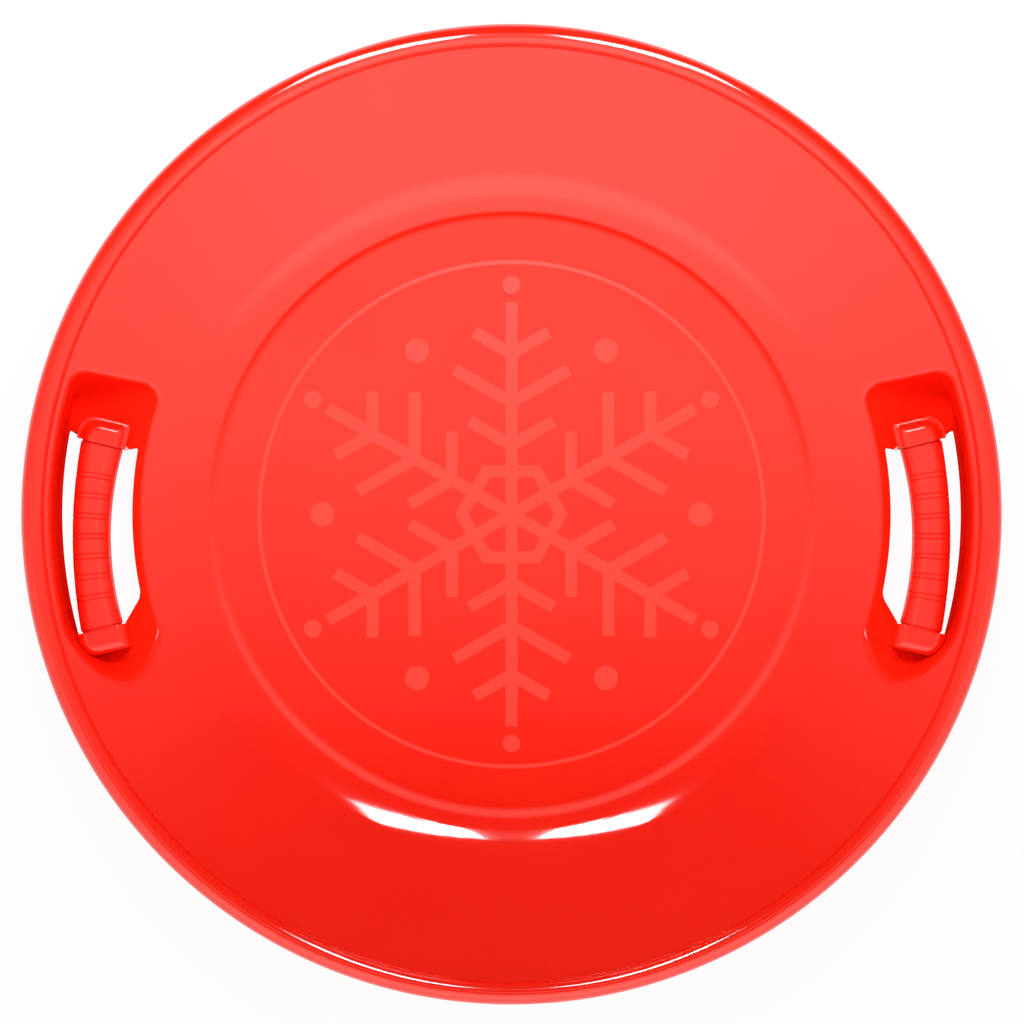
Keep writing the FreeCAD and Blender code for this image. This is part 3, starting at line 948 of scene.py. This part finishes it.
def snowflake(nodes, place):
    """Where a plain six-armed snowflake is printed on the floor: 1 on its lines and 0 beside them."""
    x, y, z = nodes.split(place)
    radius = nodes.length(x, y)
    turn = nodes.math("ADD", nodes.math("ARCTAN2", y, x), FLAKE_FOLD)
    angle = nodes.math("PINGPONG", turn, FLAKE_FOLD)
    along = nodes.math("MULTIPLY", radius, nodes.math("COSINE", angle))
    aside = nodes.math("MULTIPLY", radius, nodes.math("SINE", angle))

    def dot(reach, turn, size):
        off = nodes.math("SUBTRACT", along, reach * math.cos(turn))
        up = nodes.math("SUBTRACT", aside, reach * math.sin(turn))
        return nodes.math("SUBTRACT", nodes.length(off, up), size)

    def ring(distance, reach, half):
        off = nodes.math("ABSOLUTE", nodes.math("SUBTRACT", distance, reach))
        return nodes.math("SUBTRACT", off, half)

    arm = nodes.math("SUBTRACT", aside, FLAKE_LINE)
    shapes = [nodes.math("MAXIMUM", arm, nodes.math("SUBTRACT", along, FLAKE_ARM))]
    lean, rise = math.cos(FLAKE_LEAN), math.sin(FLAKE_LEAN)
    for start, length in FLAKE_BRANCHES:
        off = nodes.math("SUBTRACT", along, start)
        reach = nodes.math("ADD", nodes.math("MULTIPLY", off, lean), nodes.math("MULTIPLY", aside, rise))
        drift = nodes.math("MULTIPLY", aside, lean)
        across = nodes.math("SUBTRACT", nodes.math("MULTIPLY", off, rise), drift)
        across = nodes.math("SUBTRACT", nodes.math("ABSOLUTE", across), FLAKE_LINE)
        before = nodes.math("MULTIPLY", reach, -1)
        ends = nodes.math("MAXIMUM", nodes.math("SUBTRACT", reach, length), before)
        shapes.append(nodes.math("MAXIMUM", across, ends))
    shapes.append(ring(along, FLAKE_HUB, FLAKE_LINE))
    shapes.append(ring(radius, FLAKE_RING, FLAKE_RING_LINE))
    shapes.append(dot(FLAKE_TIP_DOT[0], 0, FLAKE_TIP_DOT[1]))
    shapes.append(dot(FLAKE_GAP_DOT[0], FLAKE_FOLD, FLAKE_GAP_DOT[1]))
    nearest = shapes[0]
    for shape in shapes[1:]:
        nearest = nodes.math("MINIMUM", nearest, shape)
    drawn = nodes.spread(nearest, 1, 0, "SMOOTHSTEP", -FLAKE_EDGE, FLAKE_EDGE)
    upper_skin = nodes.math("GREATER_THAN", z, WALL * MM / 2)
    return nodes.math("MULTIPLY", drawn, upper_skin)


def main_materials():
    """The plastic of the dish, the grips and the end caps."""
    return {
        "dish": red_plastic(
            "dish_plastic", roughness=0.075, coat=0.8, peel=0.03,
            print_mask=snowflake, matt_mask=pocket_matt,
        ),
        "grip": red_plastic("grip_plastic", roughness=0.44, coat=0.0, peel=0.10),
        "cap": red_plastic("cap_plastic", roughness=0.22, coat=0.5, peel=0.04),
    }


# Sled

def build_sled():
    """Every piece of the sled, each in place of its node."""
    looks = main_materials()
    piece("dish_body", dish_mesh(), looks["dish"], "dish_plastic", "dish")
    for side_name, side in SIDES.items():
        for shell, upper in (("upper", True), ("lower", False)):
            node = side_name + "_grip_" + shell + "_shell"
            made = grip_mesh(node + "_skin", side, upper)
            piece(node + "_body", made, looks["grip"], "grip_plastic", node)
        for end, flip, field in (("front", TO_FRONT, front_cap), ("rear", TO_REAR, rear_cap)):
            node = side_name + "_" + end + "_end_cap"
            made = cap_mesh(node + "_skin", side, flip, field)
            piece(node + "_body", made, looks["cap"], "cap_plastic", node)
            pin = side_name + "_" + end + "_snap_pin"
            piece(pin, pin_mesh(pin + "_skin", side, flip), looks["cap"], "cap_plastic")


# Stage, in metres

FLOOR_SIZE = 12.0
FLOOR_LEVEL = -0.0004
FLOOR_WHITE = 0.92
FLOOR_ROUGHNESS = 0.9
FLOOR_GLOW_SHARE = 0.94
CAMERA_HEIGHT = 2.682
CAMERA_ASIDE = (0.00034, 0.00156)
CAMERA_LENS = 135.0
LAMP_HEIGHT = 1.05
LAMP_STRIPS = 8
LAMP_INNER = 0.049
LAMP_OUTER = 0.48
LAMP_NEAR = 0.29
LAMP_FAR = 0.60
LAMP_SLANT = 1.15
LAMP_END = 0.335
LAMP_END_SLANT = 2.9
LAMP_BRIGHT = 20.5

# Room light, whose spans are parts of a direction of length one
ROOM_TINT = (1.0, 0.96, 0.86)
ROOM_BRIGHT = 1.2
ROOM_DIM = 0.09
ROOM_SPAN = (-0.9, 0.7)
ROOM_SOFTENING = 0.06
WINDOW_BRIGHT = 0.5
WINDOW_SPAN = (-0.62, -0.38)
WINDOW_RISE = (0.38, 0.66)
CEILING_BRIGHT = 0.76
CEILING_SPAN = (-0.08, 0.03)
CEILING_EDGE = (0.11, 0.20)


def build_floor():
    """A white floor: mostly its own white to the camera and to reflections, and clear from beneath."""
    half = FLOOR_SIZE / 2
    corners = [(x * half, y * half, FLOOR_LEVEL) for x, y in ((-1, -1), (1, -1), (1, 1), (-1, 1))]
    mesh = bpy.data.meshes.new("floor")
    mesh.from_pydata(corners, [], [(0, 1, 2, 3)])
    floor = bpy.data.objects.new("floor", mesh)
    bpy.context.scene.collection.objects.link(floor)
    material = bpy.data.materials.new("floor_white")
    material.use_nodes = True
    nodes = Nodes(material.node_tree)
    shader = material.node_tree.nodes["Principled BSDF"]
    shader.inputs["Base Color"].default_value = (FLOOR_WHITE, FLOOR_WHITE, FLOOR_WHITE, 1)
    shader.inputs["Roughness"].default_value = FLOOR_ROUGHNESS
    glow = nodes.add("ShaderNodeEmission").outputs[0]
    paths = nodes.add("ShaderNodeLightPath").outputs
    seen = nodes.math("MAXIMUM", paths["Is Camera Ray"], paths["Is Transmission Ray"])
    seen = nodes.math("MAXIMUM", seen, paths["Is Glossy Ray"])
    white = nodes.shade(nodes.math("MULTIPLY", seen, FLOOR_GLOW_SHARE), shader.outputs[0], glow)
    beneath = nodes.add("ShaderNodeNewGeometry").outputs["Backfacing"]
    clear = nodes.add("ShaderNodeBsdfTransparent").outputs[0]
    surface = material.node_tree.nodes["Material Output"].inputs["Surface"]
    nodes.join(nodes.shade(beneath, white, clear), surface)
    mesh.materials.append(material)


def build_world():
    """Soft room light, bright behind the sled and dim before it, with a window and a ceiling."""
    world = bpy.data.worlds.new("room")
    bpy.context.scene.world = world
    world.use_nodes = True
    nodes = Nodes(world.node_tree)
    x, y, z = nodes.split(nodes.add("ShaderNodeTexCoord").outputs["Generated"])
    aside = nodes.length(x, y)
    forward = nodes.math("DIVIDE", y, nodes.math("ADD", aside, ROOM_SOFTENING))
    walls = nodes.spread(forward, ROOM_BRIGHT, ROOM_DIM, "LINEAR", *ROOM_SPAN)
    window = nodes.math(
        "MULTIPLY",
        nodes.spread(y, WINDOW_BRIGHT, 0, "SMOOTHSTEP", *WINDOW_SPAN),
        nodes.spread(z, 0, 1, "SMOOTHSTEP", *WINDOW_RISE),
    )
    walls = nodes.math("ADD", walls, window)
    ceiling = nodes.spread(y, 0, CEILING_BRIGHT, "LINEAR", *CEILING_SPAN)
    overhead = nodes.spread(aside, 1, 0, "SMOOTHSTEP", *CEILING_EDGE)
    change = nodes.math("MULTIPLY", overhead, nodes.math("SUBTRACT", ceiling, walls))
    room_light = world.node_tree.nodes["Background"]
    room_light.inputs["Color"].default_value = (*ROOM_TINT, 1)
    nodes.join(nodes.math("ADD", walls, change), room_light.inputs["Strength"])
    white = nodes.add("ShaderNodeBackground")
    white.inputs["Color"].default_value = (1, 1, 1, 1)
    seen = nodes.add("ShaderNodeLightPath").outputs["Is Camera Ray"]
    surface = world.node_tree.nodes["World Output"].inputs["Surface"]
    nodes.join(nodes.shade(seen, room_light.outputs[0], white.outputs[0]), surface)


def build_lamps():
    """Two slanted soft boxes at the front of the sled, each a row of strips that draws back outwards."""
    width = (LAMP_OUTER - LAMP_INNER) / LAMP_STRIPS
    for number in range(LAMP_STRIPS):
        across = LAMP_INNER + width * (number + 0.5)
        drawn_back = LAMP_SLANT * (across - LAMP_INNER)
        near = LAMP_NEAR + drawn_back + max(0, across - LAMP_END) * (LAMP_END_SLANT - LAMP_SLANT)
        depth = LAMP_FAR + drawn_back - near
        for side in SIDES.values():
            lamp = bpy.data.lights.new("soft_box", "AREA")
            lamp.shape = "RECTANGLE"
            lamp.size, lamp.size_y = width, depth
            lamp.energy = LAMP_BRIGHT * math.pi * width * depth
            obj = bpy.data.objects.new("soft_box", lamp)
            obj.location = (side * across, near + depth / 2, LAMP_HEIGHT)
            bpy.context.scene.collection.objects.link(obj)


def build_camera():
    """The camera straight above the sled, as in the picture."""
    camera = bpy.data.cameras.new("camera")
    camera.lens = CAMERA_LENS
    obj = bpy.data.objects.new("camera", camera)
    obj.location = (*CAMERA_ASIDE, CAMERA_HEIGHT)
    bpy.context.scene.collection.objects.link(obj)
    bpy.context.scene.camera = obj


build_sled()
build_floor()
build_world()
build_lamps()
build_camera()
bpy.context.scene.view_settings.view_transform = "Standard"
